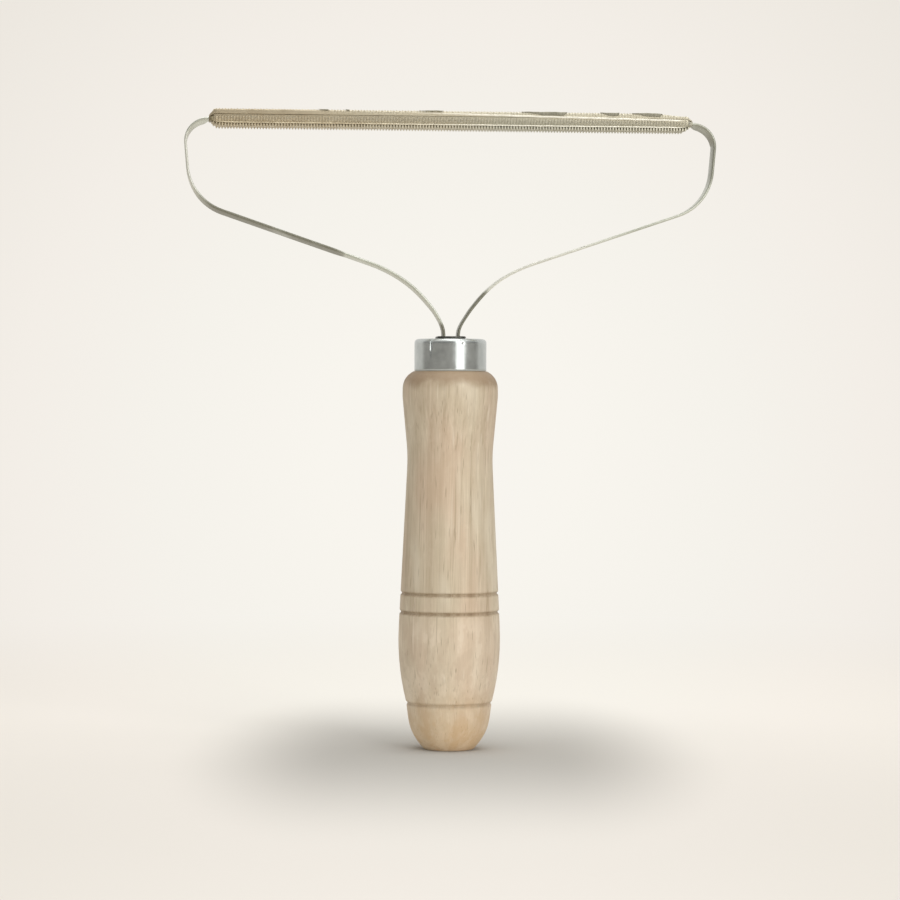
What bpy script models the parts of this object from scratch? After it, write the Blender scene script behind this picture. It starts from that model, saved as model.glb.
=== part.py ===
"""A hand scraper that lifts pet hair and lint off cloth: wooden handle, sprung steel hoop, brass mesh head.

Metres, +Z up the handle. The origin is the centre of the handle's foot, X runs along the scraping head
and Y runs across the steel strip.
"""

import math

import bmesh
import bpy
import numpy
from mathutils import Vector

# Clearance between pieces that touch or slide into each other.
fit_gap = 0.0003

# Handle: corners of the turned outline from the foot up, each a stretch above the last, with its rounding.
foot_radius = 0.0074
heel_length = 0.0050
heel_radius = 0.0116
heel_rounding = 0.0150
tip_length = 0.0088
tip_radius = 0.0127
belly_length = 0.0112
belly_radius = 0.0156
belly_rounding = 0.0750
taper_length = 0.0622
waist_radius = 0.01255
waist_rounding = 0.0500
flare_length = 0.0178
collar_radius = 0.0142
collar_rounding = 0.0100
collar_length = 0.0058
shoulder_radius = 0.0141
shoulder_rounding = 0.0055
shoulder_length = 0.0016
seat_reveal = 0.0002

# Turned grooves: one where the tip meets the belly, and a pair above the belly's corner.
groove_width = 0.0010
groove_depth = 0.00045
pair_rise = 0.0159
pair_spacing = 0.0056

# Drawn steel cap over the handle's tenon, and how far the slot's cutter reaches past its top wall.
cap_radius = 0.0107
cap_wall = 0.00055
cap_height = 0.0093
cap_rounding = 0.0012
cut_overrun = 0.0008

# Dark sleeve that the two legs pass through, in a slot in the cap's top.
flange_thickness = 0.0011
flange_lap_x = 0.00093
flange_lap_y = 0.0012
flange_edge = 0.0003
sleeve_wall = 0.0005
sleeve_depth = 0.0010
sleeve_corner = 0.0009

# Steel strip: its section, then the corners of half its route, from the end of a leg to the head.
band_thickness = 0.0008
band_width = 0.0060
leg_spacing = 0.00434
leg_depth = 0.0240
neck_rise = 0.0059
neck_rounding = 0.0120
throat_half_width = 0.0135
throat_rise = 0.0127
throat_rounding = 0.0430
hip_half_width = 0.0772
hip_rise = 0.0217
hip_rounding = 0.0150
head_half_width = 0.0793
head_rise = 0.0241
head_rounding = 0.0066

# Wedge between the legs, and the cross pin that holds them in the handle.
wedge_nose_length = 0.0040
wedge_nose_thickness = 0.0012
wedge_corner = 0.0003
wedge_setback = 0.0010
mortise_floor = 0.0020
pin_radius = 0.0009
pin_drop = 0.0055
pin_setback = 0.0013

# Brass wire cloth, folded round the crossbar and stacked above and below it.
cloth_thickness = 0.00045
cloth_lap = 0.0012
upper_thickness = 0.0016
lower_thickness = 0.00095
lower_setback = 0.0007
rib_pitch = 0.00087
rib_relief = 0.0002
pinch_length = 0.0015
pinch_share = 0.35

# Crimped clips at the two ends of the crossbar.
clip_length = 0.0013
clip_wall = 0.0005
clip_corner = 0.0004
clip_bore_corner = 0.0001

# How finely round shapes are faceted.
lathe_segments = 36
pin_segments = 16
corner_segments = 4
arc_error = 0.00002
sharp_edge = math.radians(40)

# Heights that follow from the lengths above.
tip_height = heel_length + tip_length
belly_height = tip_height + belly_length
waist_height = belly_height + taper_length
collar_height = waist_height + flare_length
shoulder_height = collar_height + collar_length
seat_height = shoulder_height + shoulder_length
cap_base = seat_height + fit_gap
cap_top = cap_base + cap_height
leg_end = cap_top - leg_depth
neck_height = cap_top + neck_rise
throat_height = neck_height + throat_rise
hip_height = throat_height + hip_rise
crossbar_height = hip_height + head_rise

# Fits that follow from the pieces they hold.
tenon_radius = cap_radius - cap_wall - fit_gap
tenon_top = cap_top - cap_wall - fit_gap
seat_radius = cap_radius + seat_reveal
legs_width = leg_spacing + band_thickness
passage_width = legs_width + 2 * fit_gap
passage_depth = band_width + 2 * fit_gap
sleeve_width = passage_width + 2 * sleeve_wall
sleeve_breadth = passage_depth + 2 * sleeve_wall
sleeve_base = cap_top - cap_wall - sleeve_depth
flange_base = cap_top + fit_gap
pin_height = cap_top - pin_drop
pin_hole_radius = pin_radius + fit_gap


def rounded_path(corners):
    """Points along straight runs between corners (u, v, radius), each corner rounded with an arc.

    Where two neighbouring arcs need more than the run between them, both are made smaller.
    """
    spots = [Vector(corner[:2]) for corner in corners]
    runs = [after - before for before, after in zip(spots, spots[1:])]
    turns = [before.angle_signed(after) for before, after in zip(runs, runs[1:])]
    wanted = [0.0]
    wanted += [corner[2] * math.tan(abs(turn) / 2) for corner, turn in zip(corners[1:-1], turns)]
    wanted.append(0.0)
    shares = [run.length / max(run.length, low + high) for run, low, high in zip(runs, wanted, wanted[1:])]
    path = [spots[0]]
    for index, turn in enumerate(turns):
        tangent = wanted[index + 1] * min(shares[index], shares[index + 1])
        if tangent < fit_gap / 10:
            path.append(spots[index + 1])
            continue
        start = spots[index + 1] - runs[index].normalized() * tangent
        towards_end = spots[index + 1] + runs[index + 1].normalized() * tangent - start
        radius = tangent / math.tan(abs(turn) / 2)
        steps = max(2, math.ceil(abs(turn) / math.acos(max(0, 1 - arc_error / radius)) / 2))
        for step in range(steps + 1):
            swung = abs(turn) * step / steps
            chord = towards_end.length * math.sin(swung / 2) / math.sin(abs(turn) / 2)
            aim = math.copysign((abs(turn) - swung) / 2, turn)
            path.append(start + rotated(towards_end.normalized(), aim) * chord)
    path.append(spots[-1])
    return path


def rotated(direction, angle):
    """A flat direction turned anticlockwise by an angle."""
    cosine, sine = math.cos(angle), math.sin(angle)
    return Vector((direction.x * cosine - direction.y * sine, direction.x * sine + direction.y * cosine))


def rounded_rectangle(width, depth, corner, height):
    """A ring of points round a rectangle with rounded corners, centred on Z at one height."""
    corner = min(corner, width / 2, depth / 2)
    ring = []
    for quarter, (side_x, side_y) in enumerate(((1, 1), (-1, 1), (-1, -1), (1, -1))):
        centre = Vector((side_x * (width / 2 - corner), side_y * (depth / 2 - corner), height))
        for step in range(corner_segments + 1):
            angle = (quarter + step / corner_segments) * math.pi / 2
            ring.append(centre + corner * Vector((math.cos(angle), math.sin(angle), 0)))
    return ring


def loft(rings, closed=False):
    """A skin through rings of points: capped at both ends, or closed from the last ring to the first."""
    bm = bmesh.new()
    loops = []
    for ring in rings:
        verts = [bm.verts.new(point) for point in ring]
        loops.append([bm.edges.new(pair) for pair in zip(verts, verts[1:] + verts[:1])])
    if closed:
        loops.append(loops[0])
    else:
        bmesh.ops.contextual_create(bm, geom=loops[0])
        bmesh.ops.contextual_create(bm, geom=loops[-1])
    for low, high in zip(loops, loops[1:]):
        bmesh.ops.bridge_loops(bm, edges=low + high)
    return bm


def lathe(profile):
    """A profile of (radius, height) points, open or ending on the axis, turned about Z."""
    bm = bmesh.new()
    verts = [bm.verts.new((spot.x, 0, spot.y)) for spot in profile]
    edges = [bm.edges.new(pair) for pair in zip(verts, verts[1:])]
    bmesh.ops.spin(bm, geom=verts + edges, cent=(0, 0, 0), axis=(0, 0, 1), angle=2 * math.pi,
                   steps=lathe_segments, use_merge=True)
    bmesh.ops.remove_doubles(bm, verts=bm.verts, dist=fit_gap / 100)
    return bm


def finish(name, colour, roughness, metallic):
    """A Principled material; the colour is given as it looks on a screen, 0 to 255."""
    material = bpy.data.materials.new(name)
    material.use_nodes = True
    shader = material.node_tree.nodes["Principled BSDF"]
    linear = [(channel / 255 / 12.92) if channel < 10 else ((channel / 255 + 0.055) / 1.055) ** 2.4
              for channel in colour]
    shader.inputs["Base Color"].default_value = (*linear, 1)
    shader.inputs["Roughness"].default_value = roughness
    shader.inputs["Metallic"].default_value = metallic
    material.diffuse_color = (*linear, 1)
    return material


def add_object(name, bm, height=0.0):
    """A mesh object on the tool's axis at a height, under the tool's empty."""
    bm.normal_update()
    bmesh.ops.recalc_face_normals(bm, faces=bm.faces)
    mesh = bpy.data.meshes.new(name)
    bm.to_mesh(mesh)
    bm.free()
    part = bpy.data.objects.new(name, mesh)
    part.location = (0, 0, height)
    part.parent = tool
    bpy.context.collection.objects.link(part)
    return part


def add_part(name, bm, material, height=0.0):
    """A finished piece: its object with a material and smooth shading between its sharp edges."""
    part = add_object(name, bm, height)
    part.data.materials.append(material)
    part.data.shade_smooth()
    part.data.set_sharp_from_angle(angle=sharp_edge)
    return part


def add_cutter(name, bm, height=0.0):
    """A shape that is only subtracted from pieces."""
    cutter = add_object(name, bm, height)
    cutter.display_type = "WIRE"
    cutter.hide_render = True
    return cutter


def cut(part, cutter):
    """Subtract a cutter from a piece."""
    modifier = part.modifiers.new(cutter.name, "BOOLEAN")
    modifier.operation = "DIFFERENCE"
    modifier.object = cutter


def prism(width, depth, corner, height):
    """An upright block with rounded corners, its base at zero."""
    return loft([rounded_rectangle(width, depth, corner, level) for level in (0, height)])


def cross_cylinder(radius, length):
    """A cylinder along X, centred at zero."""
    bm = bmesh.new()
    bmesh.ops.create_cone(bm, cap_ends=True, segments=pin_segments, radius1=radius, radius2=radius,
                          depth=length)
    for vertex in bm.verts:
        vertex.co = (vertex.co.z, vertex.co.y, -vertex.co.x)
    return bm


def grooved(outline, height):
    """The outline with the points over one groove replaced by the V of a turner's point tool."""
    low, high = height - groove_width / 2, height + groove_width / 2
    heights = [spot.y for spot in outline]
    radii = [spot.x for spot in outline]
    notch = [Vector((float(numpy.interp(level, heights, radii)) - depth, level))
             for level, depth in ((low, 0), (height, groove_depth), (high, 0))]
    below = [spot for spot in outline if spot.y < low]
    above = [spot for spot in outline if spot.y > high]
    return below + notch + above


def make_handle():
    """Turned grip and tenon, with a mortise for the legs, a pocket for the sleeve and the pin's hole."""
    grip = rounded_path([
        (foot_radius, 0, 0),
        (heel_radius, heel_length, heel_rounding),
        (tip_radius, tip_height, 0),
        (belly_radius, belly_height, belly_rounding),
        (waist_radius, waist_height, waist_rounding),
        (collar_radius, collar_height, collar_rounding),
        (shoulder_radius, shoulder_height, shoulder_rounding),
        (seat_radius, seat_height, 0),
    ])
    pair_height = belly_height + pair_rise
    for height in (tip_height, pair_height, pair_height + pair_spacing):
        grip = grooved(grip, height)
    tenon = [Vector((tenon_radius, seat_height)), Vector((tenon_radius, tenon_top)), Vector((0, tenon_top))]
    handle = add_part("handle", lathe([Vector((0, 0))] + grip + tenon), wood)
    mortise_height = tenon_top - leg_end + mortise_floor
    mortise = prism(passage_width, passage_depth, fit_gap, mortise_height + fit_gap)
    cut(handle, add_cutter("mortise_cutter", mortise, leg_end - mortise_floor))
    pocket = prism(sleeve_width + 2 * fit_gap, sleeve_breadth + 2 * fit_gap, sleeve_corner + fit_gap,
                   cap_top - sleeve_base)
    cut(handle, add_cutter("pocket_cutter", pocket, sleeve_base - fit_gap))
    cut(handle, pin_cutter)


def make_ferrule_cap():
    """Drawn cup over the tenon, open below, with a slot for the sleeve in its top."""
    inner_radius = cap_radius - cap_wall
    inner_height = cap_height - cap_wall
    outside = rounded_path([(cap_radius, 0, 0), (cap_radius, cap_height, cap_rounding), (0, cap_height, 0)])
    inside = rounded_path([(inner_radius, 0, 0), (inner_radius, inner_height, cap_rounding - cap_wall),
                           (0, inner_height, 0)])
    cap = add_part("ferrule_cap", lathe(inside[::-1] + outside), bright_steel, cap_base)
    slot = prism(sleeve_width + 2 * fit_gap, sleeve_breadth + 2 * fit_gap, sleeve_corner + fit_gap,
                 cap_wall + 2 * cut_overrun)
    cut(cap, add_cutter("slot_cutter", slot, cap_top - cap_wall - cut_overrun))


def make_neck_grommet():
    """Flanged sleeve round both legs: a raised plate on the cap's top, and a barrel through its slot."""
    flange_width = sleeve_width + 2 * flange_lap_x
    flange_breadth = sleeve_breadth + 2 * flange_lap_y
    flange_corner = sleeve_corner + flange_lap_x
    barrel = sleeve_base - flange_base
    rings = [
        rounded_rectangle(sleeve_width, sleeve_breadth, sleeve_corner, 0),
        rounded_rectangle(flange_width, flange_breadth, flange_corner, 0),
        rounded_rectangle(flange_width, flange_breadth, flange_corner, flange_thickness - flange_edge),
        rounded_rectangle(flange_width - 2 * flange_edge, flange_breadth - 2 * flange_edge,
                          flange_corner - flange_edge, flange_thickness),
        rounded_rectangle(passage_width, passage_depth, sleeve_corner - sleeve_wall, flange_thickness),
        rounded_rectangle(passage_width, passage_depth, sleeve_corner - sleeve_wall, barrel),
        rounded_rectangle(sleeve_width, sleeve_breadth, sleeve_corner, barrel),
    ]
    add_part("neck_grommet", loft(rings, closed=True), dark_steel, flange_base)


def make_spring_band():
    """One strip bent into the whole hoop, with a hole through each leg for the pin."""
    bm = bmesh.new()
    front = [bm.verts.new((spot.x, -band_width / 2, spot.y)) for spot in band_route]
    edges = [bm.edges.new(pair) for pair in zip(front, front[1:])]
    swept = bmesh.ops.extrude_edge_only(bm, edges=edges)["geom"]
    back = [element for element in swept if isinstance(element, bmesh.types.BMVert)]
    bmesh.ops.translate(bm, verts=back, vec=(0, band_width, 0))
    band = add_part("spring_band", bm, spring_steel)
    wall = band.modifiers.new("strip_thickness", "SOLIDIFY")
    wall.thickness = band_thickness
    wall.offset = 0
    wall.use_even_offset = True
    cut(band, pin_cutter)


def make_leg_wedge():
    """Hardwood wedge that spreads the legs against the mortise, nose down."""
    thickness = leg_spacing - band_thickness - 2 * fit_gap
    wedge_height = sleeve_base - fit_gap - leg_end - wedge_setback
    rings = [
        rounded_rectangle(wedge_nose_thickness, band_width, wedge_corner, 0),
        rounded_rectangle(thickness, band_width, wedge_corner, wedge_nose_length),
        rounded_rectangle(thickness, band_width, wedge_corner, wedge_height),
    ]
    wedge = add_part("leg_wedge", loft(rings), wood, leg_end + wedge_setback)
    cut(wedge, pin_cutter)


def ribbed_bar(half_length, thickness, pinch_side):
    """A bar of folded wire cloth with a rib at every wire, centred at zero.

    Each end is pressed thinner towards the side that lies on the next layer: 1 is up, -1 is down and
    0 leaves the ends full.
    """
    ribs = round(2 * half_length / rib_pitch)
    depth = band_width + 2 * fit_gap + 2 * cloth_lap
    bm = bmesh.new()
    bmesh.ops.create_cube(bm, size=2)
    long_edges = [edge for edge in bm.edges if edge.verts[0].co.x * edge.verts[1].co.x < 0]
    bmesh.ops.subdivide_edges(bm, edges=long_edges, cuts=2 * ribs - 1, use_grid_fill=True)
    for vertex in bm.verts:
        station = round((vertex.co.x + 1) * ribs)
        relief = 0 if station % 2 else rib_relief
        from_end = (1 - abs(vertex.co.x)) * half_length
        pinch = 1.0
        if pinch_side and from_end < pinch_length:
            pinch = pinch_share + (1 - pinch_share) * from_end / pinch_length
        side = pinch_side * thickness / 2
        level = vertex.co.z * (thickness / 2 - relief)
        vertex.co.x *= half_length
        vertex.co.y *= (depth / 2 - relief) * (1 + pinch) / 2
        vertex.co.z = side + (level - side) * pinch
    return bm


def make_scraper_meshes():
    """Three layers of ribbed cloth: one folded round the crossbar, one above it and one below it."""
    wrap_thickness = band_thickness + 2 * fit_gap + 2 * cloth_thickness
    middle = add_part("middle_scraper_mesh", ribbed_bar(middle_reach, wrap_thickness, 0), brass,
                      crossbar_height)
    channel = bmesh.new()
    bmesh.ops.create_cube(channel, size=1)
    bmesh.ops.scale(channel, verts=channel.verts,
                    vec=(2 * crossbar_reach, passage_depth, band_thickness + 2 * fit_gap))
    cut(middle, add_cutter("channel_cutter", channel, crossbar_height))
    stacked = wrap_thickness / 2 + fit_gap
    upper = ribbed_bar(outer_reach, upper_thickness, -1)
    add_part("upper_scraper_mesh", upper, brass, crossbar_height + stacked + upper_thickness / 2)
    lower = ribbed_bar(outer_reach - lower_setback, lower_thickness, 1)
    add_part("lower_scraper_mesh", lower, brass, crossbar_height - stacked - lower_thickness / 2)


def make_end_clips():
    """A crimped ring round each end of the crossbar, against the end of the middle layer."""
    slot_height = band_thickness + 2 * fit_gap
    outer_height = slot_height + 2 * clip_wall
    outer_depth = passage_depth + 2 * clip_wall
    rings = [
        rounded_rectangle(outer_height, outer_depth, clip_corner, -clip_length / 2),
        rounded_rectangle(outer_height, outer_depth, clip_corner, clip_length / 2),
        rounded_rectangle(slot_height, passage_depth, clip_bore_corner, clip_length / 2),
        rounded_rectangle(slot_height, passage_depth, clip_bore_corner, -clip_length / 2),
    ]
    right = add_part("right_end_clip", loft(rings, closed=True), dark_steel, crossbar_height)
    left = bpy.data.objects.new("left_end_clip", right.data)
    left.parent = tool
    bpy.context.collection.objects.link(left)
    for clip, side in ((right, 1), (left, -1)):
        clip.location = (side * (crossbar_reach - fit_gap - clip_length / 2), 0, crossbar_height)
        clip.rotation_euler = (0, math.pi / 2, 0)


for old in list(bpy.data.objects):
    bpy.data.objects.remove(old, do_unlink=True)

tool = bpy.data.objects.new("lint_remover", None)
bpy.context.collection.objects.link(tool)

wood = finish("turned_wood", (206, 188, 162), 0.6, 0.0)
bright_steel = finish("drawn_steel", (200, 203, 200), 0.15, 1.0)
dark_steel = finish("dark_steel", (92, 92, 88), 0.4, 1.0)
spring_steel = finish("spring_steel", (158, 155, 142), 0.35, 1.0)
brass = finish("brass_wire", (196, 182, 150), 0.4, 1.0)

# The strip's route in the X-Z plane: right leg, right arm, crossbar, left arm and left leg.
half_route = [
    (leg_spacing / 2, leg_end, 0),
    (leg_spacing / 2, neck_height, neck_rounding),
    (throat_half_width, throat_height, throat_rounding),
    (hip_half_width, hip_height, hip_rounding),
    (head_half_width, crossbar_height, head_rounding),
]
band_route = rounded_path(half_route + [(-x, z, rounding) for x, z, rounding in reversed(half_route)])
crossbar_reach = max(spot.x for spot in band_route if abs(spot.y - crossbar_height) < fit_gap / 100)
middle_reach = crossbar_reach - clip_length - 2 * fit_gap
outer_reach = crossbar_reach - fit_gap

pin_hole = cross_cylinder(pin_hole_radius, 2 * (tenon_radius + fit_gap))
pin_cutter = add_cutter("pin_hole_cutter", pin_hole, pin_height)

make_handle()
make_ferrule_cap()
make_neck_grommet()
make_spring_band()
make_leg_wedge()
add_part("leg_pin", cross_cylinder(pin_radius, 2 * (tenon_radius - pin_setback)), dark_steel, pin_height)
make_scraper_meshes()
make_end_clips()
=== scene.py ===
"""The looks of a wooden-handled scraper for pet hair and lint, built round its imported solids."""

import math

import bmesh
import bpy
import numpy
from mathutils import Matrix, Vector


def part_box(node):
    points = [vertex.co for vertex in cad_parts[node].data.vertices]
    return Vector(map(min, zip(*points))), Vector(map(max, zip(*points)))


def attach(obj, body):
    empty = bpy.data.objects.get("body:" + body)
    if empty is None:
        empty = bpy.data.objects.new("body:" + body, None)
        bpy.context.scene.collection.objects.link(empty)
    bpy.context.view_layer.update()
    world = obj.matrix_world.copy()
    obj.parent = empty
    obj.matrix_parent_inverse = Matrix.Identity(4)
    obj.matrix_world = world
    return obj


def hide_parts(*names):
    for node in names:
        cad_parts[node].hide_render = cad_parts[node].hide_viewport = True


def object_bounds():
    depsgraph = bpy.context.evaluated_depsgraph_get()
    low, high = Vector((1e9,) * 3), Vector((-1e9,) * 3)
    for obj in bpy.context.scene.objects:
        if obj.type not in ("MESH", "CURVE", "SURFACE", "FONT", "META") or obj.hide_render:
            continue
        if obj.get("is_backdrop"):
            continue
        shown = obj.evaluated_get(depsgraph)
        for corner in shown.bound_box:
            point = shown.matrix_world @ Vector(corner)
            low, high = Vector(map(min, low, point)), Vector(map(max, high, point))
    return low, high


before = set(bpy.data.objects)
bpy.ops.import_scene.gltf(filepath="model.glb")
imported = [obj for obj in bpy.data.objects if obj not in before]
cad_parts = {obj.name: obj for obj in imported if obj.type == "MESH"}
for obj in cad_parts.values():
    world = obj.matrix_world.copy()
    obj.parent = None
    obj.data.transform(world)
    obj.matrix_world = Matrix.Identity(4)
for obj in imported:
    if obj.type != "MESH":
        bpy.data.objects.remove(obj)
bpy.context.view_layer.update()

# Turned handle: one length of pale, straight-grained hardwood, turned between centres, sanded fine and left
# with a thin matt oil. The grooves are cut with a pointed tool, and the tenon is mortised for the strip's
# legs and cross-drilled for their pin.
clearance = 0.0003
same_place = clearance / 100
strip_thickness = 0.0008
sleeve_wall = 0.0005
slot_corner = 0.0012
mortise_floor = 0.0020
grip_facets = 180
ring_gap = 0.0005
fine_ring_gap = 0.0001
groove_half_width = 0.0007
groove_depth = 0.00045
groove_strengths = (0.55, 1.0, 0.9)
faint_groove_share = 0.6
foot_softening = 0.0004
sharp_edge = math.radians(42)


def screen(red, green, blue):
    """A colour given as it looks on a screen, 0 to 255, in the linear form that shaders take."""
    channels = (red / 255, green / 255, blue / 255)
    linear = [c / 12.92 if c < 0.04 else ((c + 0.055) / 1.055) ** 2.4 for c in channels]
    return (*linear, 1)


class Nodes:
    """One node tree. Each call adds a node and gives the output that feeds the next one."""

    def __init__(self, tree):
        self.tree = tree

    def add(self, kind, output, sockets, **settings):
        node = self.tree.nodes.new("ShaderNode" + kind)
        for name, value in settings.items():
            setattr(node, name, value)
        for socket, value in sockets.items():
            self.feed(node.inputs[socket], value)
        return node.outputs[output]

    def feed(self, socket, value):
        if isinstance(value, bpy.types.NodeSocket):
            self.tree.links.new(value, socket)
        else:
            socket.default_value = value

    def maths(self, operation, first, second=0.0, clamp=False):
        return self.add("Math", 0, {0: first, 1: second}, operation=operation, use_clamp=clamp)

    def stretched(self, vector, scale, location=(0, 0, 0), rotation=(0, 0, 0)):
        return self.add("Mapping", 0, {"Vector": vector, "Scale": scale, "Location": location,
                                       "Rotation": rotation})

    def noise(self, vector, scale, detail=2.0, roughness=0.5):
        return self.add("TexNoise", "Fac", {"Vector": vector, "Scale": scale, "Detail": detail,
                                            "Roughness": roughness})

    def between(self, value, low, high, to_low=0.0, to_high=1.0):
        sockets = {"Value": value, "From Min": low, "From Max": high, "To Min": to_low, "To Max": to_high}
        return self.add("MapRange", 0, sockets, interpolation_type="SMOOTHSTEP")

    def ramp(self, value, stops):
        output = self.add("ValToRGB", "Color", {"Fac": value})
        elements = output.node.color_ramp.elements
        for place, _ in stops[2:]:
            elements.new(place)
        for element, (place, colour) in zip(elements, stops):
            element.position = place
            element.color = colour
        return output

    def mix(self, factor, first, second, blend="MIX"):
        return self.add("Mix", 2, {0: factor, 6: first, 7: second}, data_type="RGBA", blend_type=blend)

    def blend(self, factor, first, second):
        return self.add("Mix", 0, {0: factor, 2: first, 3: second}, data_type="FLOAT")

    def tinted(self, base, mask, strength, colour):
        """A base colour with another laid over it by a mask, at a strength."""
        return self.mix(self.maths("MULTIPLY", mask, strength), base, colour)

    def overlap(self, first, *others):
        """The product of several masks, which is 1 where all of them are."""
        for other in others:
            first = self.maths("MULTIPLY", first, other)
        return first

    def vector(self, operation, first, second=(0, 0, 0)):
        return self.add("VectorMath", 0, {0: first, 1: second}, operation=operation)

    def measure(self, operation, first, second=(0, 0, 0)):
        return self.add("VectorMath", "Value", {0: first, 1: second}, operation=operation)


class Finish(Nodes):
    """A Principled material, painted in the object's own coordinates."""

    def __init__(self, name, roughness, metallic):
        self.material = bpy.data.materials.new(name)
        self.material.use_nodes = True
        super().__init__(self.material.node_tree)
        self.shader = self.tree.nodes["Principled BSDF"]
        self.place = self.add("TexCoord", "Object", {})
        self.shader.inputs["Roughness"].default_value = roughness
        self.shader.inputs["Metallic"].default_value = metallic

    def set(self, socket, value):
        self.feed(self.shader.inputs[socket], value)

    def axis(self, letter):
        return self.add("SeparateXYZ", letter, {0: self.place})

    def emboss(self, layers):
        """Stacks bumps, each a height from 0 to 1 with its depth in metres."""
        normal = None
        for height, depth in layers:
            sockets = {"Height": height, "Distance": depth, "Strength": 1.0}
            if normal is not None:
                sockets["Normal"] = normal
            normal = self.add("Bump", 0, sockets)
        self.set("Normal", normal)


def mesh_of(name, bm):
    """A mesh of a bmesh, which is freed."""
    mesh = bpy.data.meshes.new(name)
    bm.to_mesh(mesh)
    bm.free()
    return mesh


def placed(name, data):
    """A new object of some data, in the scene."""
    item = bpy.data.objects.new(name, data)
    bpy.context.scene.collection.objects.link(item)
    return item


def add_piece(name, bm, finish, slot, *nodes):
    """A finished piece on the one body, standing for the solids that it names."""
    bmesh.ops.remove_doubles(bm, verts=bm.verts, dist=clearance / 1000)
    bm.normal_update()
    bmesh.ops.recalc_face_normals(bm, faces=bm.faces)
    mesh = mesh_of(name, bm)
    if "custom_normal" in mesh.attributes:
        mesh.attributes.remove(mesh.attributes["custom_normal"])
    mesh.materials.clear()
    mesh.materials.append(finish.material)
    mesh.shade_smooth()
    mesh.set_sharp_from_angle(angle=sharp_edge)
    piece = placed(name, mesh)
    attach(piece, "root")
    if nodes:
        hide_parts(*nodes)
    return piece


def turned(profile, facets):
    """A bmesh of a profile of (radius, height) points turned about Z."""
    bm = bmesh.new()
    verts = [bm.verts.new((radius, 0, height)) for radius, height in profile]
    edges = [bm.edges.new(pair) for pair in zip(verts, verts[1:])]
    bmesh.ops.spin(bm, geom=verts + edges, cent=(0, 0, 0), axis=(0, 0, 1), angle=2 * math.pi, steps=facets,
                   use_merge=True)
    bmesh.ops.remove_doubles(bm, verts=bm.verts, dist=same_place)
    return bm


def slab(low, high):
    """A bmesh of a box between two corners."""
    bm = bmesh.new()
    bmesh.ops.create_cube(bm, size=1)
    bmesh.ops.scale(bm, verts=bm.verts, vec=high - low)
    bmesh.ops.translate(bm, verts=bm.verts, vec=(low + high) / 2)
    return bm


def block(low, high, softening):
    """A bmesh of a box between two corners, its upright edges rounded."""
    bm = slab(low, high)
    upright = [e for e in bm.edges if abs(e.verts[0].co.z - e.verts[1].co.z) > clearance]
    bmesh.ops.bevel(bm, geom=upright, offset=softening, affect="EDGES", segments=4, profile=0.5, material=-1)
    return bm


def hollow_out(piece, bm):
    """Cuts a shape out of a finished piece."""
    cutter = placed("cutter", mesh_of("cutter", bm))
    modifier = piece.modifiers.new("hollow", "BOOLEAN")
    modifier.operation = "DIFFERENCE"
    modifier.object = cutter
    evaluated = piece.evaluated_get(bpy.context.evaluated_depsgraph_get())
    carved = bpy.data.meshes.new_from_object(evaluated)
    piece.modifiers.clear()
    piece.data = carved
    bpy.data.objects.remove(cutter)


def cut_opening(piece, reach, foot, top, corner):
    """Cuts an upright opening round the tool's axis out of a finished piece."""
    hollow_out(piece, block(Vector((-reach.x, -reach.y, foot)), Vector((reach.x, reach.y, top)), corner))


def ring_heights(node):
    """The rings of a turned solid as {height: outer radius}, from its own corners."""
    rings = {}
    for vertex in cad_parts[node].data.vertices:
        level = round(vertex.co.z, 5)
        rings[level] = max(rings.get(level, 0), math.hypot(vertex.co.x, vertex.co.y))
    return rings


handle_rings = ring_heights("handle")
seat_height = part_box("ferrule_cap")[0].z - clearance
tenon_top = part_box("handle")[1].z
tenon_radius = handle_rings[max(handle_rings)]
levels = [level for level in sorted(handle_rings) if level < seat_height + clearance / 2]
radii = [handle_rings[level] for level in levels]
dips = [i for i in range(1, len(levels) - 1)
        if radii[i] < min(radii[i - 1], radii[i + 1]) - groove_depth / 2]
groove_levels = [levels[i] for i in dips]
plain_levels = [level for i, level in enumerate(levels) if i not in dips]
plain_radii = [radius for i, radius in enumerate(radii) if i not in dips]


def grip_radius(height):
    """The turned outline with its grooves."""
    radius = float(numpy.interp(height, plain_levels, plain_radii))
    for level, strength in zip(groove_levels, groove_strengths):
        share = min(1.0, abs(height - level) / groove_half_width)
        depth = groove_depth * (faint_groove_share + (1 - faint_groove_share) * strength)
        radius -= depth * (1 - share ** 2) ** 2
    return radius


heights = {i * ring_gap for i in range(int(seat_height / ring_gap) + 1)} | {seat_height}
for level in groove_levels:
    reach = math.ceil(groove_half_width / fine_ring_gap)
    heights |= {level + i * fine_ring_gap for i in range(-reach, reach + 1)}
heights = sorted(heights)
heights = [heights[0]] + [high for low, high in zip(heights, heights[1:])
                          if high - low > fine_ring_gap / 3]
profile = [(0, 0)] + [(grip_radius(height), height) for height in heights]
profile += [(tenon_radius, seat_height), (tenon_radius, tenon_top), (0, tenon_top)]
grip = turned(profile, grip_facets)
foot_rim = [e for e in grip.edges if all(abs(v.co.z) < same_place and v.co.xy.length > ring_gap
                                         for v in e.verts)]
bmesh.ops.bevel(grip, geom=foot_rim, offset=foot_softening, affect="EDGES", segments=3, profile=0.5,
                material=-1)

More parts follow.
